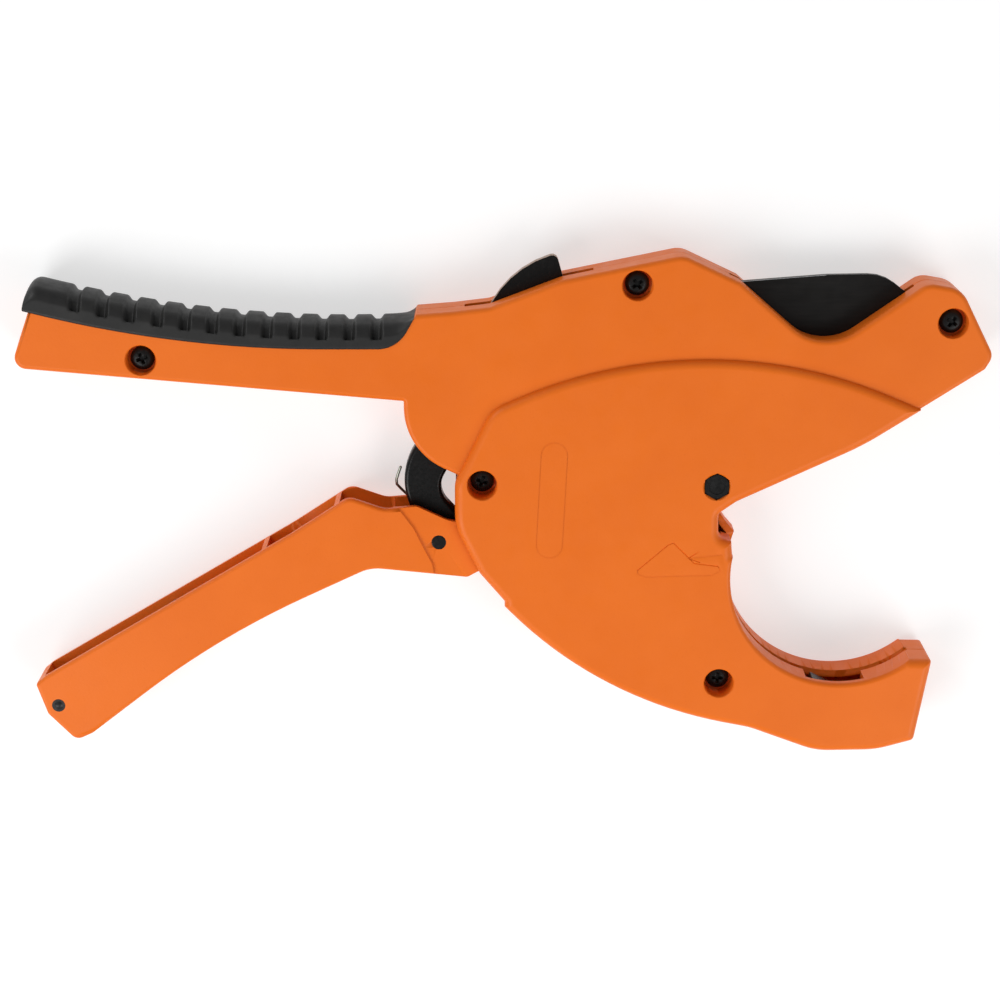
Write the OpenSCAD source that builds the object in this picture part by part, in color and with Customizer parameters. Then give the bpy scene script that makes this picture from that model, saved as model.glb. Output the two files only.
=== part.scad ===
// Ratcheting cutter for plastic pipe, lying on its side.
// Origin: centre of the pipe throat, in the parting plane of the two body shells.
// +X points to the jaws, +Y from the lower handle to the upper handle, +Z along the pipe axis.

/* [Body] */
// Half thickness of the upper handle and the head
flank_z = 10; // [9:0.5:11]
// Half thickness of the raised housing and the hook
housing_z = 12.5; // [12:0.5:14]
// Wall thickness of the body shells
wall = 2.5; // [2:0.25:3]
// Radius of the pipe throat
throat_r = 38; // [37:0.5:38.5]

/* [Blade and ratchet] */
// Thickness of the blade
blade_t = 2.4; // [2:0.2:2.6]
// Outer faces of the two ratchet plates, from the middle plane
ratchet_z = 3.7; // [3.2:0.1:4]
// Radius over the ratchet teeth
tooth_tip_r = 56; // [54:0.5:56]
// Depth of a ratchet tooth
tooth_depth = 4; // [3:0.5:5]
// Number of ratchet teeth
tooth_count = 16; // [12:1:16]
// Radius of the pivot bush that the blade turns on
bush_r = 6; // [5:0.5:7]

/* [Lower handle] */
// Half width of the lower handle
handle_z = 9; // [8.5:0.5:9.5]
// Half width over the handle's two ears
ear_z = 8.2; // [8:0.1:8.5]
// Half width of the gap between the ears
ear_gap_z = 6; // [5.8:0.1:6.5]
// Radius of the pin that the handle turns on
handle_pin_r = 4; // [3:0.5:4.5]

/* [Fasteners] */
// Radius of a pan screw head
head_r = 4; // [3.5:0.25:4.25]
// Height of a pan screw head
head_h = 2.6; // [2:0.2:3]
// Level of the top of the screw heads, from the middle plane
head_top_z = 7; // [6:0.5:7.5]
// Radius of the recess round a screw head
recess_r = 4.9; // [4.5:0.1:5.5]
// Radius of a screw shank
shank_r = 2; // [1.5:0.25:2.25]

/* [Hidden] */
$fn = 64;

eps = 0.01;              // overlap that makes a clean cut
run = 0.05;              // radial clearance of a turning fit
chord = 0.12;            // how far a drawn arc may leave its true circle
half_blade = blade_t / 2;
ratchet_room_z = ratchet_z + 1;
boss_r = shank_r + 2;    // posts that the screws pass through
bolt_r = 2.5;            // pivot bolt, pins of the lever and the pawl, and rivets
hex_r = 4.6;             // over the corners of the pivot bolt's head and nut
hex_recess_r = 4.75;
hub_r = 7.3;             // steel round the pivot bush, kept behind the throat's edge
hub_room_r = 8;
pivot_boss_r = 10.3;
spring_post_r = 2.5;
hex_head_h = 3.2;
hex_head_z = housing_z - 3.4; // underside of the hex head
blade_slot_z = half_blade + 0.4;
nut_r = 4;               // over the corners of a shell nut
nut_h = 3.2;
nut_top_z = -6.3;
tail_pin_r = 2.3;
rib_t = 1.8;             // cross ribs inside the handles
inner_step = 0.4;        // extra wall thickness round the deep part of the hollow

// Pivots, all parallel to Z
blade_pivot = [-43.5, 32];
handle_pivot = [-112, 8];
pawl_pivot = [-136.7, 11.4];
release_pivot = [-90, 78];
tail_pivot = [-268.2, -47.1];
spring_post = [-92, 52]; // the blade's return spring is wound on it
SCREWS = [[-234.6, 74.6], [-70.9, 99.6], [33, 87], [-122, 32.5], [-41.1, -37.7]];

// Each outline is a list of corners [x, y, rounding radius], anticlockwise
BOTTOM_EDGE = [
    [-123, 1, 1.5], [-114.6, -8.9, 0.3], [-114.6, -10.8, 0.3], [-81.7, -44.5, 140],
    [-30, -54.8, 28], [-7, -63.4, 25], [14, -63, 30], [27, -59.3, 2],
    [32, -29.6, 1.3], [24.2, -29.5, 0.2]
];
SCALLOP = [[-37.4, 7.5, 0.2], [-37.8, 12.4, 0.4], [-42.3, 14, 3], [-42.4, 22, 2.2], [-36.5, 26.2, 8]];
NUB = [[-33, 9.5, 1], [-38.4, 15.6, 3], [-42.2, 21.2, 2], [-36.5, 26.2, 8]];
HEAD_LOWER_EDGE = [[5, 45.5, 90]];
HOUSING_TOP = [[24.5, 58, 0.5], [-48.5, 89.2, 156], [-119, 58.2, 12]];
HOUSING_LEFT = [[-131.3, 33, 8], [-131.3, 17.5, 20]];
HEAD_AND_TOP = [
    [44.5, 71.2, 2], [47.2, 75.8, 4.5], [35.5, 98.4, 9], [24, 100.4, 7], [-9.5, 76.7, 17],
    [-37, 100.6, 2.5], [-56, 109.6, 8], [-96, 101.4, 6], [-119.5, 92.4, 6], [-131, 91, 20],
    [-143.5, 90, 0.5]
];
GRIP_SEAT = [[-150, 78.5, 11], [-221.3, 78.5, 385], [-270.9, 90.8, 0.5]];
HANDLE_AND_LOBE = [[-278, 71.7, 4], [-148.2, 60.4, 0.2], [-148, 43.6, 23], [-130.3, 35.05, 0.1]];

// Grip: ribs along an arc that runs parallel to the seat
rib_count = 11;
rib_pitch = 9;
rib_first_x = -251;
rib_h = 1.8;
grip_proud = 0.4;        // how far the grip stands out of the handle's sides
tongue_z = 5;            // half width of the core that the grip is moulded on
tongue_drop = 3.5;       // how far the core stays below the grip's back
core_end_x = -159;
toe_slope = 6.5 / 11.5;  // lean of the handle's shoulder that the grip ends against

// Ratchet teeth, counted anticlockwise from the first one
tooth_pitch = 9;
tooth_start = 120;

function unit(v) = v / norm(v);
function cross2(a, b) = a[0] * b[1] - a[1] * b[0];
function xy(p) = [p[0], p[1]];
function polar(r, a) = [r * cos(a), r * sin(a)];

// Points of the arc that rounds corner b between its neighbours a and c
function corner_arc(a, b, c, r) =
    let (u = unit(a - b), w = unit(c - b))
    let (half = acos(u * w) / 2)
    let (centre = b + unit(u + w) * r / sin(half))
    let (first = b + u * r / tan(half) - centre, last = b + w * r / tan(half) - centre)
    let (start = atan2(first[1], first[0]), sweep = atan2(cross2(first, last), first * last))
    let (steps = max(2, ceil(abs(sweep) / (2 * acos(1 - min(chord / r, 1))))))
    [for (i = [0 : steps]) centre + polar(r, start + sweep * i / steps)];

// The closed outline through a list of rounded corners
function rounded(corners) = [
    for (i = [0 : len(corners) - 1])
        let (n = len(corners))
        each corner_arc(xy(corners[(i + n - 1) % n]), xy(corners[i]),
                        xy(corners[(i + 1) % n]), corners[i][2])
];

// The same corners moved inwards by d, for the inner side of a wall
function inset(corners, d) = [
    for (i = [0 : len(corners) - 1])
        let (n = len(corners), b = xy(corners[i]))
        let (u = unit(b - xy(corners[(i + n - 1) % n])), w = unit(xy(corners[(i + 1) % n]) - b))
        let (turn = cross2(u, w), inward = [-(u + w)[1], (u + w)[0]] / (1 + u * w))
        [b[0] + inward[0] * d, b[1] + inward[1] * d, max(0.2, corners[i][2] - sign(turn) * d)]
];

function body_corners(mouth) =
    concat(HANDLE_AND_LOBE, HOUSING_LEFT, BOTTOM_EDGE, mouth, HEAD_LOWER_EDGE, HEAD_AND_TOP, GRIP_SEAT);
function housing_corners(mouth) =
    concat(HOUSING_TOP, HOUSING_LEFT, BOTTOM_EDGE, mouth, HEAD_LOWER_EDGE);

module at(p) { translate([p[0], p[1], 0]) children(); }

module plate(z0, z1) { translate([0, 0, z0]) linear_extrude(z1 - z0) children(); }

module rod(p, r, z0, z1) { translate([p[0], p[1], z0]) cylinder(r = r, h = z1 - z0); }

module hexagon(p, r, z0, z1) {
    translate([p[0], p[1], z0]) rotate(30) cylinder(r = r, h = z1 - z0, $fn = 6);
}

// A pie slice about a pivot, between two angles
module slice(p, r, a0, a1) {
    steps = 40;
    at(p) polygon(concat([[0, 0]], [for (i = [0 : steps]) polar(r, a0 + (a1 - a0) * i / steps)]));
}

// Round wire of the given radius along a list of points
module wire(path, r, sides = 8) {
    n = len(path);
    function tangent(i) = unit(path[min(i + 1, n - 1)] - path[max(i - 1, 0)]);
    function side(t) = unit(cross(t, abs(t[2]) < 0.8 ? [0, 0, 1] : [1, 0, 0]));
    rings = [
        for (i = [0 : n - 1])
            let (t = tangent(i), s = side(t), q = cross(s, t))
            for (k = [0 : sides - 1])
                let (a = 360 * k / sides)
                path[i] + r * (s * cos(a) + q * sin(a))
    ];
    skin = [
        for (i = [0 : n - 2])
            for (k = [0 : sides - 1])
                let (m = (k + 1) % sides)
                [i * sides + k, (i + 1) * sides + k, (i + 1) * sides + m, i * sides + m]
    ];
    first = [for (k = [0 : sides - 1]) k];
    last = [for (k = [0 : sides - 1]) (n - 1) * sides + sides - 1 - k];
    polyhedron(rings, concat(skin, [first, last]));
}

// Helix about a pivot, for a coil spring
function helix(p, r, z0, pitch, turns, start = 0) = [
    for (i = [0 : 14 * turns])
        let (a = start + 360 * i / 14)
        [p[0] + r * cos(a), p[1] + r * sin(a), z0 + pitch * i / 14]
];

// ---- body shells ----

// Hollow of one half: low under the flanks, deeper under the raised housing
module hollow(mouth) {
    difference() {
        union() {
            plate(-1, flank_z - wall) polygon(rounded(inset(body_corners(mouth), wall)));
            plate(flank_z - wall, housing_z - wall)
                polygon(rounded(inset(housing_corners(mouth), wall + inner_step)));
        }
        rod([0, 0], throat_r + wall, -2, housing_z);
        for (p = SCREWS) screw_post(p);
        rod(blade_pivot, pivot_boss_r, ratchet_room_z, housing_z);
        rod(spring_post, spring_post_r, ratchet_room_z + 0.3, housing_z);
        rod(release_pivot, 5, 4, housing_z);
        handle_ribs();
    }
}

// Post that a screw passes through, with the cup round its head
module screw_post(p) {
    rod(p, boss_r, -2, housing_z);
    rod(p, recess_r + 1.5, head_top_z - head_h - 0.2, housing_z);
}

// Cross ribs inside the upper handle
module handle_ribs() {
    for (x = [-256, -215, -190, -165]) translate([x, 60, -2]) cube([rib_t, 40, flank_z]);
}

// Corners of the pocket in the jaw, and of the mouth for the ears and the drive pawl
GUIDE_POCKET = [[-11, -33], [-11, -41], [-6, -45.5], [9, -45.5], [9, -33]];
EAR_MOUTH = [[-152, 38], [-152, -4], [-115.5, -4], [-115.5, 36], [-127, 34]];
PAWL_MOUTH = [[-155, 30], [-118, 30], [-118, 52], [-146, 56], [-155, 56]];

// Everything that passes through the walls of a half
module wall_cuts() {
    // slot that the blade swings in: the tip, the back and the heel reach different radii
    plate(-1, blade_slot_z) slice(blade_pivot, 92.3, -75.5, 83);
    plate(-1, blade_slot_z) slice(blade_pivot, 78, -82, -75);
    plate(-1, blade_slot_z) slice(blade_pivot, 42, -96, -81);
    plate(-1, blade_slot_z) slice(blade_pivot, 70, 82, 99);
    // room for the ratchet plates
    plate(-1, ratchet_room_z) slice(blade_pivot, tooth_tip_r + 0.8, 4, 278);
    rod(blade_pivot, hub_room_r, -1, ratchet_room_z);
    // mouth for the handle's ears and the drive pawl
    plate(-1, ear_z + 0.5) polygon(EAR_MOUTH);
    plate(-1, 4.2) polygon(PAWL_MOUTH);
    // slot for the thumb tab of the release lever
    plate(-1, 2.1) slice(release_pivot, 40, 79, 163);
    // underside opening that the handle's bail hooks into
    plate(-1, 6.6) translate([-273, 68]) square([9, 8]);
    // throat
    rod([0, 0], throat_r, -2, housing_z + 1);
}

// Core along the back of the handle, that the grip is moulded on
module core_outline() {
    difference() {
        grip_outline(tongue_drop);
        translate([core_end_x, 60]) square([30, 40]);
    }
}

module shell_half(mouth) {
    difference() {
        union() {
            plate(0, flank_z) polygon(rounded(body_corners(mouth)));
            plate(flank_z, housing_z) polygon(rounded(housing_corners(mouth)));
            plate(0, tongue_z) core_outline();
        }
        hollow(mouth);
        difference() {
            wall_cuts();
            screw_post(SCREWS[3]);
        }
        for (p = SCREWS) rod(p, shank_r, -1, housing_z);
        rod(blade_pivot, bush_r, -1, housing_z - wall);
        rod(handle_pivot, handle_pin_r, -1, housing_z - 1);
        rod(release_pivot, bolt_r, -1, flank_z - 1);
    }
}

module front_shell() {
    color("darkorange") difference() {
        shell_half(SCALLOP);
        for (p = SCREWS) rod(p, recess_r, head_top_z - head_h, housing_z + 1);
        rod(blade_pivot, bolt_r, 0, housing_z + 1);
        hexagon(blade_pivot, hex_recess_r, hex_head_z, housing_z + 1);
        // pocket in the jaw for the blade guide
        plate(half_blade + 0.3, 9.2) polygon(GUIDE_POCKET);
    }
}

module rear_shell() {
    color("darkorange") difference() {
        mirror([0, 0, 1]) shell_half(NUB);
        for (p = SCREWS) hexagon(p, nut_r + 0.1, -housing_z - 1, nut_top_z);
        rod(blade_pivot, bolt_r, -housing_z - 1, -1);
        hexagon(blade_pivot, hex_recess_r, -housing_z - 1, -8.5);
    }
}

// Back of the grip at a given x, with the arc that the ribs follow
function grip_back(x) = 87.9 + 0.00125 * pow(x + 167, 2);

// Grip seen from the side: from its seat up to its back, lowered by drop
module grip_outline(drop) {
    polygon(rounded([
        [-270.9, 90.8, 0.2], [-221.3, 78.5, 385], [-150, 78.5, 11],
        [-144.3 - toe_slope * drop, 88.6 - drop, 0.5],
        [-205.4, 85.8 - drop, 400], [-268.8, 100.8 - drop, 3.5], [-272.8, 90.6, 0.5]
    ]));
}

module handle_grip() {
    color("dimgray") difference() {
        union() {
            plate(-flank_z - grip_proud, flank_z + grip_proud) grip_outline(rib_h);
            for (i = [0 : rib_count - 1]) rib(rib_first_x + i * rib_pitch);
        }
        plate(-tongue_z, tongue_z) core_outline();
    }
}

// One rib across the back of the grip
module rib(x) {
    lift = grip_back(x);
    plate(-flank_z - grip_proud, flank_z + grip_proud)
        polygon([[x - 4, lift - 3], [x - 2.6, lift - 0.3], [x - 1.6, lift], [x + 1.6, lift],
                 [x + 2.6, lift - 0.3], [x + 4, lift - 3]]);
}

// ---- fasteners of the shells ----

module shell_screws() {
    color("black") for (p = SCREWS) difference() {
        union() {
            rod(p, shank_r, -9.2, head_top_z - head_h + eps);
            translate([p[0], p[1], head_top_z - head_h]) intersection() {
                cylinder(r = head_r, h = head_h);
                translate([0, 0, -4.2]) sphere(r = 7.3);
            }
        }
        translate([p[0] - 0.5, p[1] - 2, head_top_z - 1.5]) cube([1, 4, 3]);
        translate([p[0] - 2, p[1] - 0.5, head_top_z - 1.5]) cube([4, 1, 3]);
    }
}

module shell_nuts() {
    color("dimgray") for (p = SCREWS) difference() {
        hexagon(p, nut_r, nut_top_z - nut_h, nut_top_z);
        rod(p, shank_r, nut_top_z - nut_h - 1, nut_top_z + 1);
    }
}

// ---- blade pivot ----

module pivot_bolt() {
    color("black") union() {
        rod(blade_pivot, bolt_r, -12, hex_head_z + eps);
        hexagon(blade_pivot, hex_r, hex_head_z, hex_head_z + hex_head_h);
    }
}

module pivot_nut() {
    color("dimgray") difference() {
        hexagon(blade_pivot, hex_r, -12.2, -8.5);
        rod(blade_pivot, bolt_r, -13, -8);
    }
}

module pivot_bush() {
    color("silver") difference() {
        rod(blade_pivot, bush_r, -8.5, 9.1);
        rod(blade_pivot, bolt_r, -9, 10);
    }
}

module pivot_washers() {
    color("silver") for (s = [-1, 1]) difference() {
        rod(blade_pivot, hub_r, min(s * 3.8, s * 4.6), max(s * 3.8, s * 4.6));
        rod(blade_pivot, bush_r, -6, 6);
    }
}

// ---- blade and ratchet ----

BLADE = [
    [39.3, 70, 0.3], [37.6, 76.5, 8], [31.5, 81.8, 3], [27, 85.5, 4], [22, 93, 12],
    [10.5, 101.9, 14], [-8, 101.6, 6], [-50.5, 98.3, 3], [-57.5, 78, 8], [-78, 60, 8],
    [-80, 26, 12], [-60, 13.8, 12]
];

module blade() {
    color("black") difference() {
        plate(-half_blade, half_blade) polygon(rounded(BLADE));
        rod(blade_pivot, bush_r + run, -5, 5);
        for (p = RIVETS) rod(p, bolt_r, -5, 5);
        // ground faces of the cutting edge
        for (s = [-1, 1]) grind(s);
    }
}

// Wedge that grinds one face of the cutting edge
module grind(s) {
    edge = [64.3, 36.4];
    translate([-25, 33.6, 0]) rotate(atan2(edge[1], edge[0]))
        rotate([90, 0, 90]) translate([0, 0, 4]) linear_extrude(72)
            polygon([[-1, s * 0.1], [-1, s * 3], [7, s * 3], [7, s * (half_blade + eps)]]);
}

RIVETS = [for (a = [112, 165, 215]) blade_pivot + polar(26, a)];

function tooth_angle(i) = tooth_start + tooth_pitch * i;

// Sector with saw teeth; the steep faces are pushed clockwise
module ratchet_outline() {
    root_r = tooth_tip_r - tooth_depth;
    end = tooth_angle(tooth_count);
    teeth = [
        for (i = [0 : tooth_count - 1])
            each [polar(root_r, tooth_angle(i)), polar(tooth_tip_r, tooth_angle(i) + 6.5),
                  polar(tooth_tip_r, tooth_angle(i) + 8.2)]
    ];
    at(blade_pivot) polygon(concat(
        [for (a = [end + 8 : 12 : tooth_start + 350]) polar(hub_r, a)],
        [polar(30, tooth_start - 2)], teeth, [polar(root_r, end), polar(30, end + 2)]
    ));
}

module ratchet_plates() {
    color("dimgray") for (s = [-1, 1]) difference() {
        plate(min(s * half_blade, s * ratchet_z), max(s * half_blade, s * ratchet_z)) ratchet_outline();
        rod(blade_pivot, bush_r + run, -5, 5);
        for (p = RIVETS) rod(p, bolt_r, -5, 5);
        at(blade_pivot) for (a = [190, 225]) rod(polar(42, a), 5, -5, 5);
    }
}

module blade_rivets() {
    color("silver") for (p = RIVETS) rod(p, bolt_r, -ratchet_z - 0.2, ratchet_z + 0.2);
}

module blade_return_spring() {
    leg_angle = 65;
    coil = helix(spring_post, 4.6, 5.7, 1.35, 2.5, leg_angle);
    color("silver") wire(concat([coil[0] + 22 * [sin(leg_angle), -cos(leg_angle), 0]], coil), 0.6);
}

// ---- lower handle ----

HANDLE = [
    [-167, 27.4, 5], [-187, 14.3, 60], [-272.5, -36.6, 2], [-276, -39.5, 1.5], [-272.3, -50.5, 2],
    [-262.8, -60.4, 3.5], [-257, -57.7, 4], [-212, -22.5, 300], [-160, 2.2, 14], [-127, -1.1, 2.5],
    [-122.5, 1.4, 3], [-111.5, -1.8, 7], [-101.8, 4, 7], [-103.5, 17, 8], [-133, 19, 12],
    [-144, 24.2, 3], [-155, 23.2, 8]
];
EAR_GAP = [[-153, 40], [-153, 4.8], [-126, 2.2], [-122, -10], [-90, -10], [-90, 40]];
CHANNEL_RIBS = [[-255, -38.6], [-226, -17], [-197, 40], [-172, 40]]; // place and top of each cross rib
EAR_STEP = [[-150, 30], [-150, 23.1], [-145.3, 16.7], [-141.7, 9.3], [-139, 4], [-137.6, -4]];

module lower_handle() {
    color("darkorange") difference() {
        union() {
            plate(-ear_z, ear_z) polygon(rounded(HANDLE));
            intersection() {
                plate(-handle_z, handle_z) polygon(rounded(HANDLE));
                plate(-20, 20) polygon(concat(EAR_STEP, [[-290, -70], [-290, 40]]));
            }
        }
        channel();
        rod(handle_pivot, handle_pin_r + run, -20, 20);
        rod(pawl_pivot, bolt_r, -20, 20);
        rod(tail_pivot, tail_pin_r, -20, 20);
    }
}

// Open top channel with its cross ribs left standing
module channel() {
    difference() {
        union() {
            plate(-6.6, 6.6) intersection() {
                union() {
                    polygon(rounded(inset(HANDLE, 2.4)));
                    translate([0, 4]) polygon(rounded(inset(HANDLE, 2.4)));
                }
                polygon([[-290, 60], [-290, -70], [-152, -70], [-152, 60]]);
            }
            plate(-ear_gap_z, ear_gap_z) polygon(EAR_GAP);
        }
        for (rib = CHANNEL_RIBS)
            translate([rib[0], -60, -8]) cube([rib_t, rib[1] + 60, 16]);
    }
    // room for the eyes of the bail
    rod(tail_pivot, eye_r + 0.5, -6.6, 6.6);
}

module handle_pin() {
    color("silver") rod(handle_pivot, handle_pin_r, -housing_z + 1, housing_z - 1);
}

module handle_spring() {
    color("silver") wire(helix(handle_pivot, 5.4, -4.9, 1.4, 7), 0.6);
}

// ---- drive pawl ----

PAWL = [
    [-144.8, 6, 7], [-136, 3, 6], [-128, 7, 6], [-127.5, 17.5, 3], [-137.6, 28.5, 8], [-131, 40.5, 8],
    [-113, 45, 10], [-100.3, 41.2, 0.5], [-98.1, 46.6, 0.3], [-103, 54.5, 3], [-127, 57.5, 22],
    [-152.3, 40.8, 22], [-146, 20.5, 12]
];

module drive_pawl() {
    color("black") difference() {
        plate(-3.4, 3.4) polygon(rounded(PAWL));
        rod(pawl_pivot, bolt_r + run, -5, 5);
    }
}

module pawl_pin() {
    color("black") rod(pawl_pivot, bolt_r, -ear_z, ear_z);
}

module pawl_spring() {
    coil = helix(pawl_pivot, 3.3, -5.5, 0.75, 2, 200);
    leg = [
        [-141.6, 14, -4.1], [-145, 20, -4.1], [-147.8, 25, -4.1], [-149.8, 27.2, -3.4],
        [-151.1, 29, -2.4], [-151.2, 30.8, -2], [-150.4, 33.4, -1.6], [-149.7, 35.4, -1.4]
    ];
    color("dimgray") wire(concat(coil, leg), 0.45);
}

// ---- release lever ----

LEVER_TAB = [
    [-92, 73, 2], [-87, 84, 4], [-95.2, 101, 1.5], [-97.4, 108.8, 2], [-115.1, 103.2, 33.5],
    [-121.2, 87, 1.2], [-111, 80, 5]
];
LEVER_NOSE = [[-91, 72.4, 0.8], [-73.3, 80.1, 0.3], [-69.6, 85.4, 1.5], [-86, 86, 3]];

module release_lever() {
    color("black") difference() {
        union() {
            plate(-1.75, 1.75) polygon(rounded(LEVER_TAB));
            plate(-3.4, 3.4) polygon(rounded(LEVER_NOSE));
            rod(release_pivot, 6, -3.4, 3.4);
        }
        rod(release_pivot, bolt_r + run, -5, 5);
    }
}

module release_pin() {
    color("silver") rod(release_pivot, bolt_r, -flank_z + 1, flank_z - 1);
}

module release_spring() {
    color("silver") wire(helix(release_pivot, 7.4, -6.8, 1.2, 2), 0.5);
}

// ---- jaw and handle lock ----

// Bar beside the blade slot that steadies the blade's tip
module blade_guide() {
    color("black") translate([-9.6, -39.5, half_blade + 0.5]) rotate(-26) cube([11, 2.4, 7]);
}

module tail_pin() {
    color("dimgray") union() {
        rod(tail_pivot, tail_pin_r, -handle_z, handle_z);
        translate([tail_pivot[0], tail_pivot[1], handle_z - 1.6]) intersection() {
            cylinder(r = 1.6, h = 4);
            sphere(r = 2.2);
        }
    }
}

bail_reach = 53;         // from the tail pin to the far side of the bail's crossbar
bail_angle = 39.5;       // how the bail lies in the channel
bail_z = 4.6;            // middle of each leg, from the middle plane
eye_r = 3.7;             // round the tail pin

module lock_bail() {
    wire_r = 1.1;
    leg = bail_reach - wire_r;
    color("silver") translate([tail_pivot[0], tail_pivot[1], 0]) rotate(bail_angle) difference() {
        union() {
            for (s = [-1, 1]) {
                translate([0, 0, s * bail_z - wire_r]) cylinder(r = eye_r, h = 2 * wire_r);
                translate([3, 0, s * bail_z]) rotate([0, 90, 0]) cylinder(r = wire_r, h = leg - 3);
                translate([leg, 0, s * bail_z]) sphere(r = wire_r);
            }
            translate([leg, 0, -bail_z]) cylinder(r = wire_r, h = 2 * bail_z);
        }
        translate([0, 0, -8]) cylinder(r = tail_pin_r + run, h = 16);
    }
}

front_shell();
rear_shell();
handle_grip();
shell_screws();
shell_nuts();
pivot_bolt();
pivot_nut();
pivot_bush();
pivot_washers();
blade_return_spring();
blade();
ratchet_plates();
blade_rivets();
lower_handle();
handle_pin();
handle_spring();
drive_pawl();
pawl_pin();
pawl_spring();
release_lever();
release_pin();
release_spring();
blade_guide();
tail_pin();
lock_bail();
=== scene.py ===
import math

import bmesh
import bpy
from mathutils import Matrix, Vector


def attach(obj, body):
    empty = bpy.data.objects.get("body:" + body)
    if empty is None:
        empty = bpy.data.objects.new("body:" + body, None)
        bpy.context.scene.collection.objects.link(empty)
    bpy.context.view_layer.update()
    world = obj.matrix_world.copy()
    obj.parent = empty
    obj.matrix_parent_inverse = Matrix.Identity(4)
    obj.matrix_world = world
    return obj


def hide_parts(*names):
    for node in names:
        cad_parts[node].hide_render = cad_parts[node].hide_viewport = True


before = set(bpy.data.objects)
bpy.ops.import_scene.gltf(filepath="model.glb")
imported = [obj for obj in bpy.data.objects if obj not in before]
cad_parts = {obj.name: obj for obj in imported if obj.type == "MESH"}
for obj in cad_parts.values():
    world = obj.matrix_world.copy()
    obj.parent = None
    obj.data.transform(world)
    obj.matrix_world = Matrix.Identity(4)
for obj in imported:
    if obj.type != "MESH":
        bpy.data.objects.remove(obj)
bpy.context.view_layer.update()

# Lengths are millimetres, in the CAD's frame, until new_piece() turns them into metres.
MM = 0.001
FLANK_Z = 10.0           # half thickness of the upper handle and the head
HOUSING_Z = 12.5         # half thickness of the raised housing and the hook
HANDLE_Z = 9.0           # half width of the lower handle
THROAT_R = 38.0
SKIN = 0.15              # how far a moulded surface lies inside the CAD's
HAIR = 0.02              # keeps a carved surface from coinciding with its neighbour
BLADE_PIVOT = (-43.5, 32.0)
HANDLE_PIVOT = (-112.0, 8.0)
PAWL_PIVOT = (-136.7, 11.4)
RELEASE_PIVOT = (-90.0, 78.0)
SPRING_POST = (-92.0, 52.0)
SCREWS = ((-234.6, 74.6), (-70.9, 99.6), (33.0, 87.0), (-122.0, 32.5), (-41.1, -37.7))
HEAD_TOP = 7.0           # level of the top of the screw heads
HEAD_H = 2.6
RECESS_R = 4.97          # recess round each screw head
SHANK_R = 2.0            # shank of the shell screws
NUT_R = 4.0              # corners of the shell screws' nuts
BOLT_R = 2.5             # shank of the pivot bolt
HEX_R = 4.6              # corners of the pivot bolt's head and nut
HEX_TOP = 12.3           # face of the pivot bolt's head
FLANK_EDGE = 1.7         # rounding of the edges of the flanks
HOUSING_EDGE = 3.0
HANDLE_EDGE = 1.3
THROAT_EDGE = 1.6
PARTING = 0.28           # depth, and half width, of the line where the shells meet
GROOVE_W = 0.52
GROOVE_DEPTH = 0.45

# Outlines are corners (x, y, rounding radius), anticlockwise
BOTTOM_EDGE = [
    (-123, 1, 1.5), (-114.6, -8.9, 0.3), (-114.6, -10.8, 0.3), (-81.7, -44.5, 140),
    (-30, -54.8, 28), (-7, -63.4, 25), (14, -63, 30), (27, -59.3, 2), (32, -29.6, 1.3), (24.2, -29.5, 0.2),
]
SCALLOP = [(-37.4, 7.5, 0.2), (-37.8, 12.4, 0.4), (-42.3, 14, 3), (-42.4, 22, 2.2), (-36.5, 26.2, 8)]
NUB = [(-33, 9.5, 1), (-38.4, 15.6, 3), (-42.2, 21.2, 2), (-36.5, 26.2, 8)]
HEAD_LOWER_EDGE = [(5, 45.5, 90)]
HOUSING_TOP = [(24.5, 58, 0.5), (-48.5, 89.2, 156), (-119, 58.2, 12)]
HOUSING_LEFT = [(-131.3, 33, 8), (-131.3, 17.5, 20)]
HEAD_AND_TOP = [
    (44.5, 71.2, 2), (47.2, 75.8, 4.5), (35.5, 98.4, 9), (24, 100.4, 7), (-9.5, 76.7, 17), (-37, 100.6, 2.5),
    (-56, 109.6, 8), (-96, 101.4, 6), (-119.5, 92.4, 6), (-131, 91, 20), (-143.5, 90, 0.5),
]
GRIP_BACK = [(-205.4, 86, 330), (-267, 104, 4)]
HANDLE_AND_LOBE = [(-278, 71.7, 4), (-148.2, 60.4, 0.2), (-148, 43.6, 23), (-130.3, 35.05, 0.1)]
HANDLE = [
    (-167, 27.4, 5), (-187, 14.3, 60), (-272.5, -36.6, 2), (-276, -39.5, 1.5), (-272.3, -50.5, 2),
    (-262.8, -60.4, 3.5), (-257, -57.7, 4), (-212, -22.5, 300), (-160, 2.2, 14), (-127, -1.1, 2.5),
    (-122.5, 1.4, 3), (-111.5, -1.8, 7), (-101.8, 4, 7), (-103.5, 17, 8), (-133, 19, 12), (-144, 24.2, 3),
    (-155, 23.2, 8),
]
PAWL = [
    (-144.8, 6, 7), (-136, 3, 6), (-128, 7, 6), (-127.5, 17.5, 3), (-137.6, 28.5, 8), (-131, 40.5, 8),
    (-113, 45, 10), (-100.3, 41.2, 0.5), (-98.1, 46.6, 0.3), (-103, 54.5, 3), (-127, 57.5, 22),
    (-152.3, 40.8, 22), (-146, 20.5, 12),
]


# ---- outlines and meshes ----

def polar(radius, degrees):
    return Vector((radius * math.cos(math.radians(degrees)), radius * math.sin(math.radians(degrees))))


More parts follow.
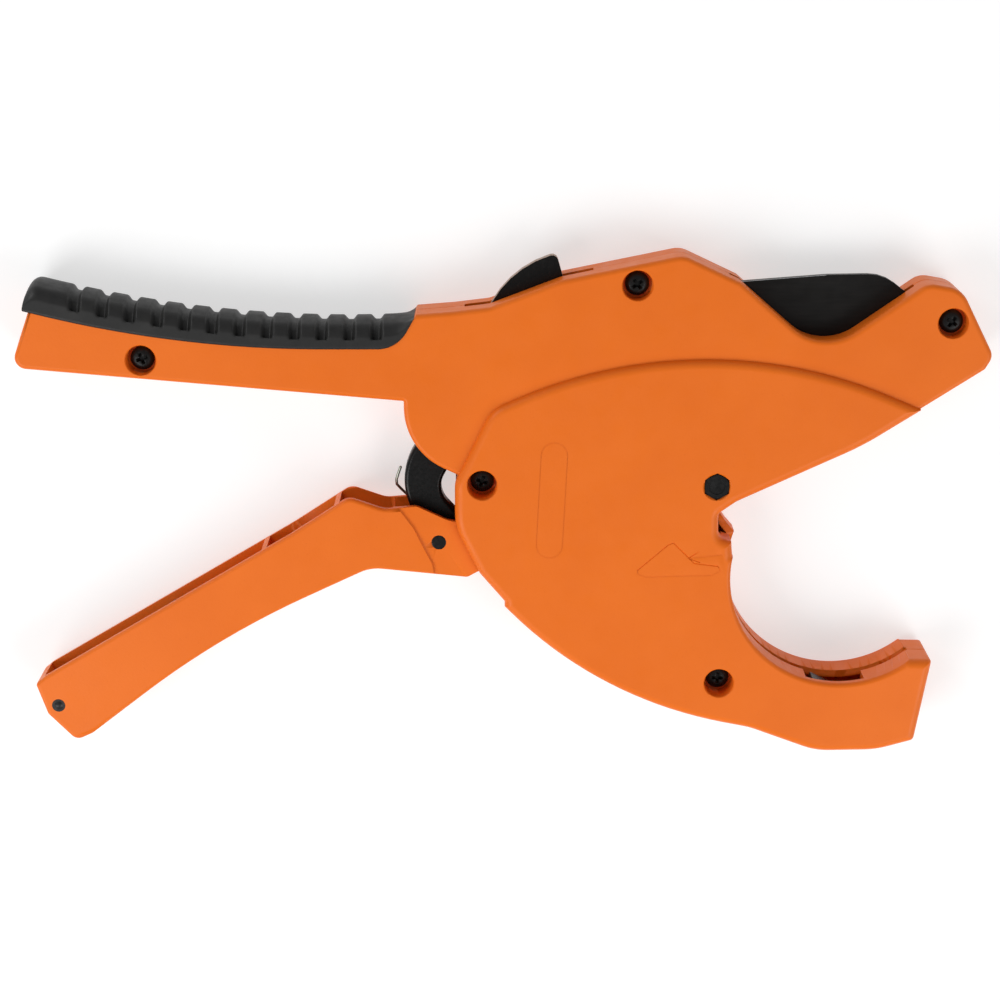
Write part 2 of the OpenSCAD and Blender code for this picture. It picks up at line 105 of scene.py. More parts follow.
def rounded(corners, inset=0.0):
    """Points of an outline, moved inwards by inset. Their number doesn't depend on inset."""
    points = []
    count = len(corners)
    for i, corner in enumerate(corners):
        before, here, after = (Vector(corners[(i + k) % count][:2]) for k in (-1, 0, 1))
        radius = corner[2]
        u, w = (here - before).normalized(), (after - here).normalized()
        turn = math.copysign(1.0, u.x * w.y - u.y * w.x)
        sweep = math.acos(max(-1.0, min(1.0, u.dot(w))))
        steps = max(2, math.ceil(sweep / min(0.13, 2 * math.acos(1 - 0.02 / max(radius, 0.1)))))
        moved = here + Vector((-(u + w).y, (u + w).x)) * (inset / (1 + u.dot(w)))
        inner = max(0.04, radius - turn * inset)
        start = moved - u * inner * math.tan(sweep / 2)
        centre = start + Vector((-u.y, u.x)) * turn * inner
        for k in range(steps + 1):
            points.append(centre + Matrix.Rotation(turn * sweep * k / steps, 2) @ (start - centre))
    return points


def new_piece(name, bm):
    """A new object from a bmesh in millimetres."""
    bmesh.ops.scale(bm, vec=(MM, MM, MM), verts=bm.verts)
    bmesh.ops.recalc_face_normals(bm, faces=bm.faces)
    mesh = bpy.data.meshes.new(name)
    bm.to_mesh(mesh)
    bm.free()
    piece = bpy.data.objects.new(name, mesh)
    bpy.context.scene.collection.objects.link(piece)
    return piece


def add_loft(bm, rings, cyclic=False):
    """Skins a list of rings that have the same number of points. A tube has ends unless it's cyclic."""
    rows = [[bm.verts.new(point) for point in ring] for ring in rings]
    count = len(rows[0])
    pairs = list(zip(rows, rows[1:] + rows[:1])) if cyclic else list(zip(rows, rows[1:]))
    for low, high in pairs:
        for i in range(count):
            j = (i + 1) % count
            bm.faces.new((low[i], low[j], high[j], high[i]))
    if not cyclic:
        bm.faces.new(rows[0][::-1])
        bm.faces.new(rows[-1])


def loft(name, rings, cyclic=False):
    bm = bmesh.new()
    add_loft(bm, rings, cyclic)
    return new_piece(name, bm)


def slab_rings(corners, levels):
    """Rings of an outline at levels given as (inset, z)."""
    return [[(p.x, p.y, z) for p in rounded(corners, inset)] for inset, z in levels]


def fillet(radius, top, inset=0.0, steps=7):
    """Levels of a rounded edge below a flat face at height top."""
    levels = []
    for k in range(steps + 1):
        a = math.pi / 2 * k / steps
        levels.append((inset + radius * (1 - math.cos(a)), top - radius + radius * math.sin(a)))
    return levels


def mirrored(levels):
    return [(inset, -z) for inset, z in reversed(levels)]


def lathe_rings(profile, centre, sides=64):
    """Rings about an axis along Z through centre, from a profile of (radius, z)."""
    spokes = [(math.cos(math.tau * k / sides), math.sin(math.tau * k / sides)) for k in range(sides)]
    return [[(centre[0] + r * c, centre[1] + r * s, z) for c, s in spokes] for r, z in profile]


def cad_copy(node, name):
    """A new closed mesh with a CAD node's shape, to be carved further."""
    bm = bmesh.new()
    bm.from_mesh(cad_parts[node].data)
    bmesh.ops.remove_doubles(bm, verts=bm.verts, dist=2e-7)
    bmesh.ops.scale(bm, vec=(1 / MM,) * 3, verts=bm.verts)
    return new_piece(name, bm)


def applied(piece):
    """Puts a piece's modifiers into its mesh."""
    graph = bpy.context.evaluated_depsgraph_get()
    mesh = bpy.data.meshes.new_from_object(piece.evaluated_get(graph))
    piece.modifiers.clear()
    piece.data = mesh
    return piece


def carve(piece, operation, *tools):
    """Booleans tools into a piece, one after the other, and removes them."""
    for tool in tools:
        cut = piece.modifiers.new("cut", "BOOLEAN")
        cut.operation = operation
        cut.object = tool
        cut.solver = "EXACT"
        applied(piece)
        bpy.data.objects.remove(tool)
    return piece


def joined(name, pieces):
    """One object from several."""
    bm = bmesh.new()
    for piece in pieces:
        bm.from_mesh(piece.data)
        bpy.data.objects.remove(piece)
    bmesh.ops.scale(bm, vec=(1 / MM,) * 3, verts=bm.verts)
    return new_piece(name, bm)


def smooth(piece, angle=32):
    """Smooth shading with sharp edges kept, and flat faces kept flat."""
    mesh = piece.data
    mesh.polygons.foreach_set("use_smooth", [True] * len(mesh.polygons))
    mesh.set_sharp_from_angle(angle=math.radians(angle))
    piece.modifiers.new("normals", "WEIGHTED_NORMAL").keep_sharp = True
    return piece


def broken_edges(piece, width):
    """Takes the sharpness off every edge of a machined or stamped piece."""
    bm = bmesh.new()
    bm.from_mesh(piece.data)
    bmesh.ops.dissolve_limit(bm, angle_limit=math.radians(0.6), verts=bm.verts, edges=bm.edges)
    bm.to_mesh(piece.data)
    bm.free()
    bevel = piece.modifiers.new("bevel", "BEVEL")
    bevel.width = width * MM
    bevel.segments = 2
    bevel.limit_method = "ANGLE"
    bevel.angle_limit = math.radians(28)
    bevel.use_clamp_overlap = True
    bevel.harden_normals = False
    return smooth(applied(piece))


def place(piece, body, slot, material, *nodes):
    """Gives a piece its material, the body it rides on and the CAD nodes it stands for. The slot argument is
    not used.
    """
    piece.data.materials.clear()
    piece.data.materials.append(material)
    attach(piece, body)
    if nodes:
        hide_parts(*nodes)
    return piece


# ---- materials ----

class Shader:
    """A Principled material with textures that are laid out in the piece's own coordinates."""

    def __init__(self, name, roughness, metallic=0.0, specular=0.5):
        self.material = bpy.data.materials.new(name)
        self.material.use_nodes = True
        self.tree = self.material.node_tree
        self.bsdf = self.tree.nodes["Principled BSDF"]
        self.set("Roughness", roughness)
        self.set("Metallic", metallic)
        self.set("Specular IOR Level", specular)
        self.coordinates = self.tree.nodes.new("ShaderNodeTexCoord").outputs["Object"]

    def set(self, socket, value):
        self.bsdf.inputs[socket].default_value = value

    def link(self, a, b):
        self.tree.links.new(a, b)

    def noise(self, size_mm, detail=3.0, roughness=0.55, stretch=(1, 1, 1)):
        """Noise whose grains are about size_mm across."""
        node = self.tree.nodes.new("ShaderNodeTexNoise")
        node.inputs["Scale"].default_value = 1 / (size_mm * MM)
        node.inputs["Detail"].default_value = detail
        node.inputs["Roughness"].default_value = roughness
        mapping = self.tree.nodes.new("ShaderNodeMapping")
        mapping.inputs["Scale"].default_value = stretch
        self.link(self.coordinates, mapping.inputs["Vector"])
        self.link(mapping.outputs["Vector"], node.inputs["Vector"])
        return node.outputs["Fac"]

    def spread(self, value, low, high, to_low, to_high):
        """Maps low to high onto to_low to to_high, and clamps."""
        node = self.tree.nodes.new("ShaderNodeMapRange")
        for socket, number in zip(("From Min", "From Max", "To Min", "To Max"), (low, high, to_low, to_high)):
            node.inputs[socket].default_value = number
        self.link(value, node.inputs["Value"])
        return node.outputs["Result"]

    def mixed(self, factor, first, second):
        """A colour between first and second, which are colours or sockets."""
        node = self.tree.nodes.new("ShaderNodeMix")
        node.data_type = "RGBA"
        self.link(factor, node.inputs["Factor"])
        for socket, value in ((node.inputs[6], first), (node.inputs[7], second)):
            if isinstance(value, tuple):
                socket.default_value = (*value, 1)
            else:
                self.link(value, socket)
        return node.outputs[2]

    def bump(self, *layers):
        """Stacks height layers, each (height socket, depth in mm)."""
        normal = None
        for height, depth in layers:
            node = self.tree.nodes.new("ShaderNodeBump")
            node.inputs["Distance"].default_value = depth * MM
            self.link(height, node.inputs["Height"])
            if normal:
                self.link(normal, node.inputs["Normal"])
            normal = node.outputs["Normal"]
        self.link(normal, self.bsdf.inputs["Normal"])

    def colour(self, socket):
        self.link(socket, self.bsdf.inputs["Base Color"])

    def rough(self, socket):
        self.link(socket, self.bsdf.inputs["Roughness"])


def orange_casting():
    """Die casting with a satin orange powder coat: fine orange peel, faint mottling and specks."""
    s = Shader("orange_casting", 0.42, specular=0.25)
    mottle = s.spread(s.noise(28, 4), 0.35, 0.65, 0, 1)
    base = s.mixed(mottle, (0.785, 0.152, 0.008), (0.815, 0.163, 0.010))
    specks = s.spread(s.noise(0.55, 2), 0.66, 0.74, 0, 0.25)
    s.colour(s.mixed(specks, base, (0.62, 0.10, 0.008)))
    s.rough(s.spread(s.noise(6, 4), 0.3, 0.7, 0.38, 0.50))
    s.bump((s.noise(0.9, 3), 0.035), (s.noise(0.28, 2), 0.012), (s.noise(14, 2), 0.05))
    return s.material


def grip_rubber():
    """Moulded black rubber with a fine spark-eroded grain and a little dust."""
    s = Shader("grip_rubber", 0.48, specular=0.3)
    dust = s.spread(s.noise(9, 5), 0.5, 0.75, 0, 1)
    s.colour(s.mixed(dust, (0.0150, 0.0148, 0.0146), (0.022, 0.0215, 0.021)))
    s.rough(s.spread(s.noise(3, 4), 0.3, 0.7, 0.40, 0.56))
    s.bump((s.noise(0.32, 3), 0.02), (s.noise(2.2, 3), 0.02))
    return s.material


def black_oxide(name, rough_low, rough_high, shade):
    """Blackened steel: dark, uneven, with a grey sheen where it is rubbed."""
    s = Shader(name, rough_low, specular=0.22)
    rubbed = s.spread(s.noise(1.6, 5), 0.55, 0.72, 0, 1)
    s.colour(s.mixed(rubbed, (shade, shade, shade), (shade * 2.2, shade * 2.1, shade * 2.0)))
    s.rough(s.spread(s.noise(0.9, 3), 0.3, 0.7, rough_low, rough_high))
    s.bump((s.noise(0.35, 3), 0.008))
    return s.material


def blade_coat():
    """Black non-stick coating on a rolled blade, with very fine lengthwise rolling marks."""
    s = Shader("blade_coat", 0.36, specular=0.16)
    streak = s.noise(1.2, 3, stretch=(0.12, 1, 1))
    s.colour(s.mixed(s.spread(streak, 0.35, 0.7, 0, 1), (0.0062, 0.0058, 0.0055), (0.0095, 0.0088, 0.0082)))
    s.rough(s.spread(s.noise(4, 4), 0.3, 0.7, 0.30, 0.44))
    s.bump((streak, 0.006), (s.noise(0.3, 2), 0.006))
    return s.material


def steel(name, colour, rough_low, rough_high, stretch=(1, 1, 1)):
    """Bare or plated steel with tool marks and slightly uneven brightness."""
    s = Shader(name, rough_low, metallic=1.0)
    patch = s.spread(s.noise(5, 5), 0.35, 0.7, 0, 1)
    dull = tuple(c * 0.78 for c in colour)
    s.colour(s.mixed(patch, colour, dull))
    marks = s.noise(0.5, 3, stretch=stretch)
    s.rough(s.spread(marks, 0.3, 0.7, rough_low, rough_high))
    s.bump((marks, 0.004))
    return s.material


def painted_rim_highlight():
    """Rim of the release lever: a painted highlight, a lighter brown colour on its side faces that stands in
    for the light its edges catch.
    """
    s = Shader("painted_rim_highlight", 0.40, metallic=0.3, specular=0.4)
    s.colour(s.mixed(s.spread(s.noise(1.5, 4), 0.35, 0.65, 0, 1), (0.25, 0.15, 0.10), (0.42, 0.28, 0.20)))
    s.rough(s.spread(s.noise(0.9, 3), 0.3, 0.7, 0.32, 0.50))
    return s.material


def floor_paper():
    """Plain pale studio floor, lit a little from behind so that shadows on it stay faint."""
    s = Shader("floor_paper", 0.85, specular=0.1)
    s.colour(s.mixed(s.noise(60, 2), (0.50, 0.50, 0.50), (0.52, 0.52, 0.52)))
    s.set("Emission Color", (1, 1, 1, 1))
    s.set("Emission Strength", 0.55)
    return s.material


ORANGE = orange_casting()
RUBBER = grip_rubber()
SCREW_BLACK = black_oxide("screw_black", 0.26, 0.42, 0.006)
PAWL_BLACK = black_oxide("pawl_black", 0.24, 0.38, 0.005)
BLADE_COAT = blade_coat()
GROUND = steel("ground_edge", (0.62, 0.62, 0.64), 0.18, 0.30, stretch=(1, 1, 0.2))
BARE = steel("bare_steel", (0.42, 0.42, 0.43), 0.28, 0.42)
ZINC = steel("zinc_plate", (0.58, 0.59, 0.62), 0.24, 0.40)
SPRING = steel("spring_wire", (0.36, 0.37, 0.32), 0.28, 0.42)
PIN_RING = black_oxide("pin_dark", 0.3, 0.45, 0.02)
# painted highlight for the release lever's rim, lighter brown on its side faces
RIM_HIGHLIGHT = painted_rim_highlight()


# ---- body shells ----

def shell_form(mouth):
    """Outer form of both shells together: flanks and raised housing, with soft edges and a parting line."""
    parting = [(SKIN, -PARTING), (SKIN + PARTING, 0.0), (SKIN, PARTING)]
    flank_edge = fillet(FLANK_EDGE, FLANK_Z - HAIR, SKIN + HAIR)
    housing_edge = fillet(HOUSING_EDGE, HOUSING_Z - HAIR, SKIN)
    shared = HOUSING_LEFT + BOTTOM_EDGE + mouth + HEAD_LOWER_EDGE
    body = HANDLE_AND_LOBE + shared + HEAD_AND_TOP + GRIP_BACK
    housing = HOUSING_TOP + shared
    flank_parting = [(inset + HAIR, z) for inset, z in parting]
    form = loft("form", slab_rings(body, mirrored(flank_edge) + flank_parting + flank_edge))
    raised = loft("raised", slab_rings(housing, mirrored(housing_edge) + parting + housing_edge))
    return carve(form, "UNION", raised)


def throat_tool():
    """Round throat, with its rims flared into the faces."""
    radius = THROAT_R + 0.06
    flare = [(radius + THROAT_EDGE * (1 - math.cos(a)), HOUSING_Z - THROAT_EDGE + THROAT_EDGE * math.sin(a))
             for a in (math.radians(15 * k) for k in range(7))]
    flare.append((radius + THROAT_EDGE, HOUSING_Z + 3))
    profile = [(r, -z) for r, z in reversed(flare)] + flare
    return loft("throat_tool", lathe_rings(profile, (0, 0), 160))


def recess_tool(p, face):
    """Round recess for a screw head, with a softened rim."""
    profile = [(RECESS_R, HEAD_TOP - HEAD_H - 0.05), (RECESS_R, face - 0.55), (RECESS_R + 0.12, face - 0.25),
               (RECESS_R + 0.42, face), (RECESS_R + 0.5, face + 2)]
    return loft("recess_tool", lathe_rings(profile, p))


def hex_rim_tool():
    """Chamfer round the recess of the pivot bolt's head."""
    inner, outer = 4.35, 5.1
    profile = [(inner, HOUSING_Z - 0.5), (inner, HOUSING_Z - 0.3), (outer, HOUSING_Z + 0.12),
               (outer, HOUSING_Z + 2)]
    return loft("hex_rim_tool", lathe_rings(profile, BLADE_PIVOT))


def groove_tool(path, face, cyclic):
    """A V-shaped groove along a path on a flat face."""
    rings = []
    count = len(path)
    for i, p in enumerate(path):
        before = path[(i - 1) % count] if cyclic or i else p
        after = path[(i + 1) % count] if cyclic or i < count - 1 else p
        along = (after - before).normalized()
        side = Vector((-along.y, along.x)) * GROOVE_W / 2
        rings.append([(p.x, p.y, face - GROOVE_DEPTH), (p.x + side.x, p.y + side.y, face + 0.01),
                      (p.x, p.y, face + GROOVE_DEPTH), (p.x - side.x, p.y - side.y, face + 0.01)])
    return loft("groove_tool", rings, cyclic)


def emblem_paths():
    """Blank capsule and a plain swing-direction mark on the housing's face."""
    capsule = []
    ends = (Vector((-97.9, 42.8)), Vector((-99.4, 11.6)))
    lean = math.degrees(math.atan2(*(ends[0] - ends[1]).yx))
    for end, start in zip(ends, (-90, 90)):
        capsule += [end + polar(4.4, lean + start + 15 * k) for k in range(13)]
    blade_mark = [Vector(p) for p in (
        (-69.4, 1.4), (-66.5, 0.4), (-52, 0.9), (-44.5, 1.0), (-41.6, 2.6),
        (-42.4, 4.2), (-50.5, 5.2), (-57.6, 12.4), (-59.3, 11.8), (-69.6, 2.8))]
    arrow = [Vector(p) for p in ((-41.2, 8.3), (-51.8, 7.1))]
    barbs = [Vector(p) for p in ((-49.0, 9.4), (-52.6, 7.0), (-48.6, 5.6))]
    return [(capsule, True), (blade_mark, True), (arrow, False), (barbs, False)]


def shell(node, mouth, tools):
    """A CAD shell cut down to the soft-edged form, once the tools have carved that form."""
    form = carve(shell_form(mouth), "DIFFERENCE", *tools)
    return carve(cad_copy(node, node + "_skin"), "INTERSECT", form)


def front_shell():
    tools = [throat_tool(), hex_rim_tool()]
    tools += [recess_tool(p, FLANK_Z if i < 3 else HOUSING_Z) for i, p in enumerate(SCREWS)]
    tools += [groove_tool(path, HOUSING_Z - HAIR, cyclic) for path, cyclic in emblem_paths()]
    piece = shell("front_shell", SCALLOP, tools)
    place(smooth(piece), "frame", "orange_casting", ORANGE, "front_shell")


def rear_shell():
    piece = shell("rear_shell", NUB, [throat_tool()])
    place(smooth(piece), "frame", "orange_casting", ORANGE, "rear_shell")


# ---- lower handle ----

def lower_handle():
    edge = fillet(HANDLE_EDGE, HANDLE_Z - HAIR, SKIN)
    form = loft("form", slab_rings(HANDLE, mirrored(edge) + edge))
    piece = carve(cad_copy("lower_handle", "lower_handle_skin"), "INTERSECT", form)
    place(smooth(piece), "handle", "orange_casting", ORANGE, "lower_handle")


# ---- grip ----

GRIP_HALF = FLANK_Z + 0.4
GRIP_END, GRIP_TOE = -272.75, -144.35
GRIP_CORNER = 3.4        # rounding between the grip's back and its sides
GRIP_SINK = 0.12         # how far the grip's underside lies in its seat
RIB_PITCH = 9.0
FIRST_VALLEY = -255.5
VALLEYS = 12
VALLEY_WALLS = (-2.7, -0.7, 0.5, 2.2)  # where each wall starts and ends, from the valley's middle
CROWN = 3.2              # fall of the grip's back from its middle to its sides

# The seat from the toe back: a slope, an arc, a flat, a long hollow arc and a straight end
SEAT_Y = 78.5
SLOPE_X, SLOPE_Y, SLOPE = -146.84, 84.086, 1.769
ARC_X, ARC_R = -156.42, 11
HOLLOW_X, HOLLOW_R = -174.3, 385
STRAIGHT_X, STRAIGHT_SLOPE = -266.9, -0.248

# The back: a shallow parabola that rounds down at the grip's free end
BACK_X, BACK_Y, BACK_BEND = -167, 87.9, 0.00125
ROUNDING_X, ROUNDING_LENGTH, ROUNDING_FALL = -272.8, 5.6, 10.3


def seat(x):
    """Underside of the grip at x."""
    if x > SLOPE_X:
        return SLOPE_Y + SLOPE * (x - SLOPE_X)
    if x > ARC_X:
        return SEAT_Y + ARC_R - math.sqrt(ARC_R ** 2 - (x - ARC_X) ** 2)
    if x > HOLLOW_X:
        return SEAT_Y
    hollow = SEAT_Y + HOLLOW_R - math.sqrt(HOLLOW_R ** 2 - (max(x, STRAIGHT_X) - HOLLOW_X) ** 2)
    return hollow + STRAIGHT_SLOPE * min(0, x - STRAIGHT_X)


def back(x):
    """Top of the grip at x, over its ribs."""
    arc = BACK_Y + BACK_BEND * (x - BACK_X) ** 2
    left = min(1.0, (x - ROUNDING_X) / ROUNDING_LENGTH)
    return arc - ROUNDING_FALL * (1 - math.sqrt(max(0.0, 1 - (1 - left) ** 2.2)))


def ease(a, b, x):
    """0 below a, 1 above b and a smooth step between."""
    t = max(0.0, min(1.0, (x - a) / (b - a)))
    return t * t * (3 - 2 * t)


def valley(x):
    """How deep x lies in a valley between two ribs, from 0 to 1."""
    i = max(0, min(VALLEYS - 1, round((x - FIRST_VALLEY) / RIB_PITCH)))
    d = x - FIRST_VALLEY - RIB_PITCH * i
    return ease(*VALLEY_WALLS[:2], d) * (1 - ease(*VALLEY_WALLS[2:], d))


def grip_section(x):
    """Closed section across the grip at x, as points (x, y, z)."""
    low = seat(x) - GRIP_SINK
    height = max(0.05, back(x) - low)
    corner = min(GRIP_CORNER, height * 0.45)
    foot = 0.35
    side = [(0.0, GRIP_HALF - foot), (foot, GRIP_HALF)]
    side += [(foot + (height - corner - foot) * k / 8, GRIP_HALF) for k in range(1, 9)]
    arc = [(height - corner + corner * math.sin(a), GRIP_HALF - corner + corner * math.cos(a))
           for a in (math.radians(9 * k) for k in range(1, 11))]
    top = [(height, (GRIP_HALF - corner) * (1 - k / 5)) for k in range(1, 6)]
    half = side + arc + top
    crown = min(CROWN, height * 0.35)
    dip = valley(x)
    points = []
    for up, z in half:
        depth = 1.6 + 1.5 * ease(4.0, 10.0, z)
        reach = ease(height - 5.0, height - 1.5, up)
        pinch = 1.1 * dip * ease(height - 5.0, height - 2.2, up) * ease(6.0, GRIP_HALF, z)
        droop = crown * (z / GRIP_HALF) ** 2 * ease(0, height, up)
        points.append((x, low + up - droop - min(dip * depth * reach, up * 0.5), z - pinch))
    return points + [(px, py, -pz) for px, py, pz in points[-2::-1]]


def handle_grip():
    dense = 3.0
    stations = [GRIP_END + dense * (k / 12) ** 2 for k in range(12)]
    count = 380
    stations += [GRIP_END + dense + (GRIP_TOE - GRIP_END - dense) * k / count for k in range(count + 1)]
    piece = loft("handle_grip_skin", [grip_section(x) for x in stations])
    place(smooth(piece, 50), "frame", "grip_rubber", RUBBER, "handle_grip")


# ---- fasteners ----

def slot_tool(p, turn):
    """One arm of the tapered cross recess in a screw head."""
    rings = []
    for half_long, half_wide, z in ((0.9, 0.45, HEAD_TOP - 1.5), (2.35, 0.62, HEAD_TOP + 0.4)):
        ring = [(half_long, -half_wide), (half_long, half_wide),
                (-half_long, half_wide), (-half_long, -half_wide)]
        spun = [Matrix.Rotation(math.radians(turn), 2) @ Vector(q) for q in ring]
        rings.append([(p[0] + q.x, p[1] + q.y, z) for q in spun])
    return loft("slot_tool", rings)


def screw_profile():
    """Pan head with a domed top, and its shank down to the nut."""
    low = HEAD_TOP - HEAD_H
    dome = [(4.0, low + 0.25), (4.0, low + 0.9), (3.85, low + 1.5), (3.45, low + 2.0),
            (2.8, low + 2.35), (1.9, low + 2.52), (0.8, low + 2.6), (0.02, low + 2.6)]
    return [(0.02, -9.0), (SHANK_R - 0.3, -9.0), (SHANK_R, -8.7), (SHANK_R, low), (3.8, low), *dome]


def shell_screws():
    bm = bmesh.new()
    for p in SCREWS:
        add_loft(bm, lathe_rings(screw_profile(), p, 48))
    slots = [slot_tool(p, turn + 17 * i) for i, p in enumerate(SCREWS) for turn in (20, 110)]
    piece = carve(new_piece("shell_screws_skin", bm), "DIFFERENCE", *slots)
    place(broken_edges(piece, 0.08), "frame", "black_screw", SCREW_BLACK, "shell_screws")


def hexagon(radius, centre, z):
    return [(centre[0] + radius * math.cos(math.radians(30 + 60 * k)),
             centre[1] + radius * math.sin(math.radians(30 + 60 * k)), z) for k in range(6)]


def chamfer_cone(centre, radius, face, outward):
    """Cone that turns the corners off a hexagon's face, whose outward side is up (1) or down (-1)."""
    profile = [(radius + 3, face - outward * 30), (radius + 3, face - outward * 3.2),
               (radius - 0.55, face), (radius - 0.7, face)]
    return loft("cone_tool", lathe_rings(profile[::outward], centre, 72))


def pivot_bolt():
    head = [hexagon(HEX_R, BLADE_PIVOT, HOUSING_Z - 3.4), hexagon(HEX_R, BLADE_PIVOT, HEX_TOP)]
    piece = carve(loft("pivot_bolt_skin", head), "INTERSECT", chamfer_cone(BLADE_PIVOT, HEX_R, HEX_TOP, 1))
    shank = [(BOLT_R - 0.4, -12.0), (BOLT_R, -11.6), (BOLT_R, HOUSING_Z - 3.2)]
    carve(piece, "UNION", loft("shank", lathe_rings(shank, BLADE_PIVOT, 48)))
    dimple = [(0.1, HEX_TOP - 0.35), (2.6, HEX_TOP - 0.2), (2.9, HEX_TOP + 1)]
    carve(piece, "DIFFERENCE", loft("dimple", lathe_rings(dimple, BLADE_PIVOT, 48)))
    place(broken_edges(piece, 0.1), "frame", "black_screw", SCREW_BLACK, "pivot_bolt")


def nut(name, centre, radius, low, high, bore):
    """Hexagon nut with a chamfered outer face and a countersunk bore."""
    piece = loft(name, [hexagon(radius, centre, low), hexagon(radius, centre, high)])
    carve(piece, "INTERSECT", chamfer_cone(centre, radius, low, -1))
    hole = [(bore + 0.5, low - 1), (bore + 0.5, low), (bore, low + 0.5), (bore, high + 1)]
    return carve(piece, "DIFFERENCE", loft("hole", lathe_rings(hole, centre, 48)))


def shell_nuts():
    nuts = [nut("shell_nut", p, NUT_R, -9.5, -6.3, SHANK_R) for p in SCREWS]
    piece = joined("shell_nuts_skin", nuts)
    place(broken_edges(piece, 0.1), "frame", "zinc_steel", ZINC, "shell_nuts")


def pivot_nut():
    piece = nut("pivot_nut_skin", BLADE_PIVOT, HEX_R, -12.2, -8.5, BOLT_R)
    place(broken_edges(piece, 0.1), "frame", "zinc_steel", ZINC, "pivot_nut")


# ---- springs ----

def helix(p, r, z0, pitch, turns, start=0.0):
    """Points of a coil about a pivot."""
    count = int(24 * turns)
    return [Vector((p[0] + r * math.cos(math.radians(start) + math.tau * i / 24),
                    p[1] + r * math.sin(math.radians(start) + math.tau * i / 24),
                    z0 + pitch * i / 24)) for i in range(count + 1)]


def wire(name, path, radius, sides=12):
    """Round wire along a path, with rounded-off ends."""
    points = [path[0] - (path[1] - path[0]).normalized() * radius * 0.5] + path
    points.append(path[-1] + (path[-1] - path[-2]).normalized() * radius * 0.5)
    turns = [math.tau * k / sides for k in range(sides)]
    rings = []
    side = None
    for i, p in enumerate(points):
        t = (points[min(i + 1, len(points) - 1)] - points[max(i - 1, 0)]).normalized()
        side = t.orthogonal() if side is None else side - t * side.dot(t)
        side.normalize()
        across = side.cross(t)
        r = radius * (0.55 if i in (0, len(points) - 1) else 1.0)
        rings.append([p + (side * math.cos(a) + across * math.sin(a)) * r for a in turns])
    return loft(name, rings)


def springs():
    """The four springs; each rides with the part that holds its coil."""
    leg = [(-141.6, 14, -4.1), (-145, 20, -4.1), (-147.8, 25, -4.1), (-149.8, 27.2, -3.4),
           (-151.1, 29, -2.4), (-151.2, 30.8, -2), (-150.4, 33.4, -1.6), (-149.7, 35.4, -1.4)]
    return_start = 65
    coil = helix(SPRING_POST, 4.6, 5.7, 1.35, 2.5, return_start)
    return_path = [coil[0] + polar(22, return_start - 90).to_3d()] + coil
    pawl_path = helix(PAWL_PIVOT, 3.3, -5.5, 0.75, 2, 200) + [Vector(p) for p in leg]
    handle_path = helix(HANDLE_PIVOT, 5.4, -4.9, 1.4, 7)
    release_path = helix(RELEASE_PIVOT, 7.4, -6.8, 1.2, 2)
    made = [
        (wire("blade_return_spring_wire", return_path, 0.6), "frame", "blade_return_spring"),
        (wire("handle_spring_wire", handle_path, 0.6), "frame", "handle_spring"),
        (wire("release_spring_wire", release_path, 0.5), "frame", "release_spring"),
        (wire("pawl_spring_wire", pawl_path, 0.5), "pawl", "pawl_spring"),
    ]
    for piece, body, node in made:
        place(smooth(piece, 50), body, "spring_steel", SPRING, node)


# ---- steel pieces ----

def drive_pawl():
    edge = fillet(1.5, 3.38, 0.08)
    form = loft("form", slab_rings(PAWL, mirrored(edge) + edge))
    piece = carve(cad_copy("drive_pawl", "drive_pawl_skin"), "INTERSECT", form)
    place(smooth(piece), "pawl", "black_steel", PAWL_BLACK, "drive_pawl")


def blade():
    """The blade, whose ground edge is bare steel and the rest coated."""
    piece = broken_edges(cad_copy("blade", "blade_skin"), 0.12)
    place(piece, "blade_assembly", "blade_steel", BLADE_COAT, "blade")
    piece.data.materials.append(GROUND)
    for face in piece.data.polygons:
        ground = face.area > 2e-6 and 0.3 < abs(face.normal.z) < 0.995
        if ground:
            face.material_index = 1


STAMPED = (
    ("release_lever", 0.35, "lever", "black_steel", PAWL_BLACK),
    ("ratchet_plates", 0.15, "blade_assembly", "bare_steel", BARE),
    ("blade_rivets", 0.2, "blade_assembly", "bare_steel", BARE),
    ("blade_guide", 0.2, "frame", "black_steel", PAWL_BLACK),
    ("pivot_bush", 0.2, "frame", "bare_steel", BARE),
    ("pivot_washers", 0.15, "frame", "zinc_steel", ZINC),
    ("handle_pin", 0.3, "frame", "bare_steel", BARE),
    ("release_pin", 0.3, "frame", "bare_steel", BARE),
    ("pawl_pin", 0.35, "handle", "black_screw", SCREW_BLACK),
    ("tail_pin", 0.15, "handle", "pin_steel", PIN_RING),
    ("lock_bail", 0.15, "bail", "zinc_steel", ZINC),
)


def paint_rim_highlight(piece):
    """Gives the faces round a plate's edge the painted rim highlight, a lighter brown colour."""
    piece.data.materials.append(RIM_HIGHLIGHT)
    for face in piece.data.polygons:
        if abs(face.normal.z) < 0.5:
            face.material_index = 1


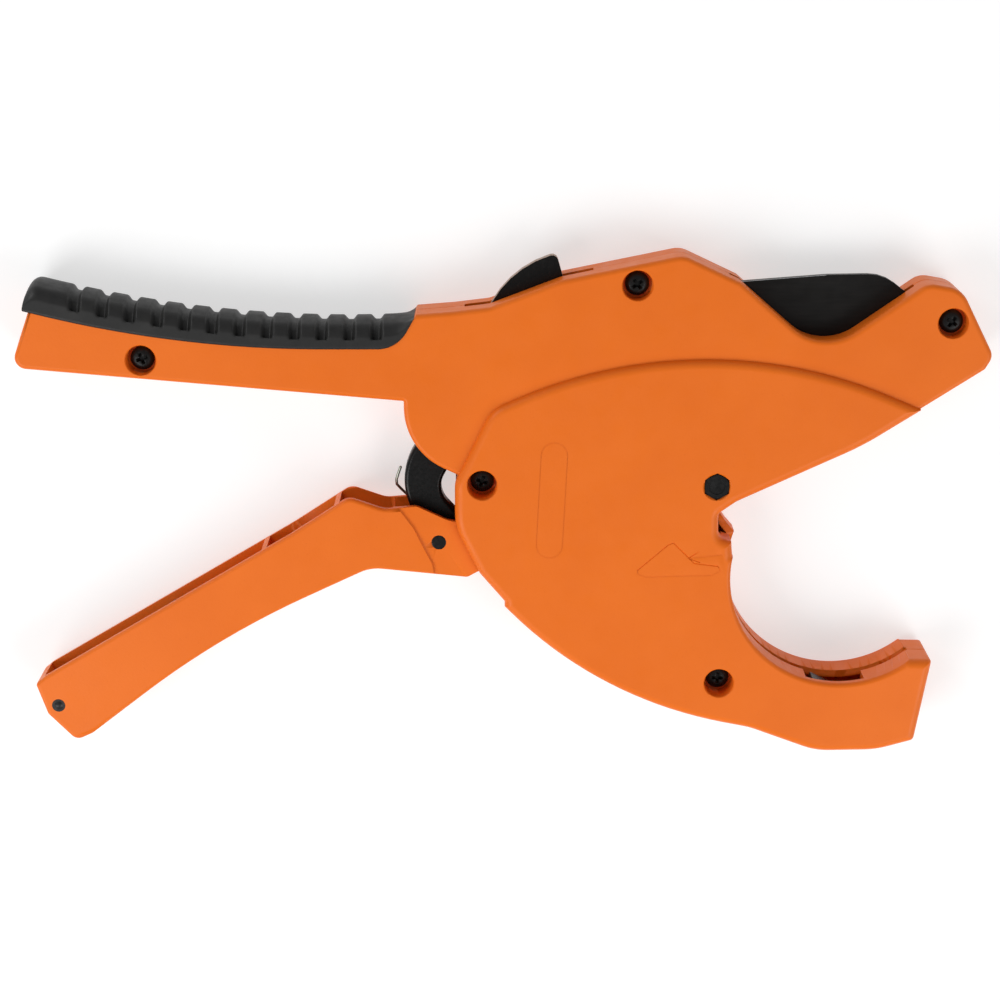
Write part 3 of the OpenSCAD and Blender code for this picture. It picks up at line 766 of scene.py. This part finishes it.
def stamped_pieces():
    """Pins, plates and washers: the CAD's shapes with their edges broken."""
    for node, width, body, slot, material in STAMPED:
        piece = broken_edges(cad_copy(node, node + "_skin"), width)
        place(piece, body, slot, material, node)
        if node == "release_lever":
            # painted highlight: the release lever's side faces get the lighter brown colour
            paint_rim_highlight(piece)


# ---- stage ----

def floor():
    bm = bmesh.new()
    size = 1600
    corners = [(x, y, -HOUSING_Z) for x, y in ((-size, -size), (size, -size), (size, size), (-size, size))]
    bm.faces.new([bm.verts.new(c) for c in corners])
    piece = new_piece("floor", bm)
    piece.data.materials.append(floor_paper())


def soft_light(name, place_m, aim_m, size, watts):
    data = bpy.data.lights.new(name, "AREA")
    data.shape = "RECTANGLE"
    data.size, data.size_y = size
    data.energy = watts
    lamp = bpy.data.objects.new(name, data)
    lamp.location = place_m
    lamp.rotation_euler = (Vector(aim_m) - Vector(place_m)).to_track_quat("-Z", "Y").to_euler()
    bpy.context.scene.collection.objects.link(lamp)


def lights():
    middle = (-0.116, 0.02, 0.0)
    soft_light("key", (-0.85, -0.50, 0.85), middle, (0.8, 0.8), 9)
    soft_light("fill", (0.65, -0.55, 0.85), middle, (0.8, 0.8), 8)
    soft_light("rim", (-0.75, 0.60, 0.35), middle, (0.25, 0.25), 1.6)
    world = bpy.data.worlds.new("studio")
    world.use_nodes = True
    background = world.node_tree.nodes["Background"]
    background.inputs["Color"].default_value = (1, 1, 1, 1)
    background.inputs["Strength"].default_value = 0.30
    bpy.context.scene.world = world
    bpy.context.scene.view_settings.view_transform = "Standard"


def camera():
    """Camera above the tool, 15.8 degrees off its normal towards the upper handle."""
    distance, tilt = 0.771, math.radians(15.8)
    data = bpy.data.cameras.new("camera")
    data.lens = 81.6
    data.sensor_width = 36
    data.clip_start, data.clip_end = 0.02, 20
    view = bpy.data.objects.new("camera", data)
    view.location = (-0.116, 0.024 + distance * math.sin(tilt), distance * math.cos(tilt))
    view.rotation_euler = (-tilt, 0, 0)
    bpy.context.scene.collection.objects.link(view)
    bpy.context.scene.camera = view


camera()
lights()
floor()
front_shell()
rear_shell()
lower_handle()
handle_grip()
shell_screws()
pivot_bolt()
shell_nuts()
pivot_nut()
springs()
drive_pawl()
blade()
stamped_pieces()
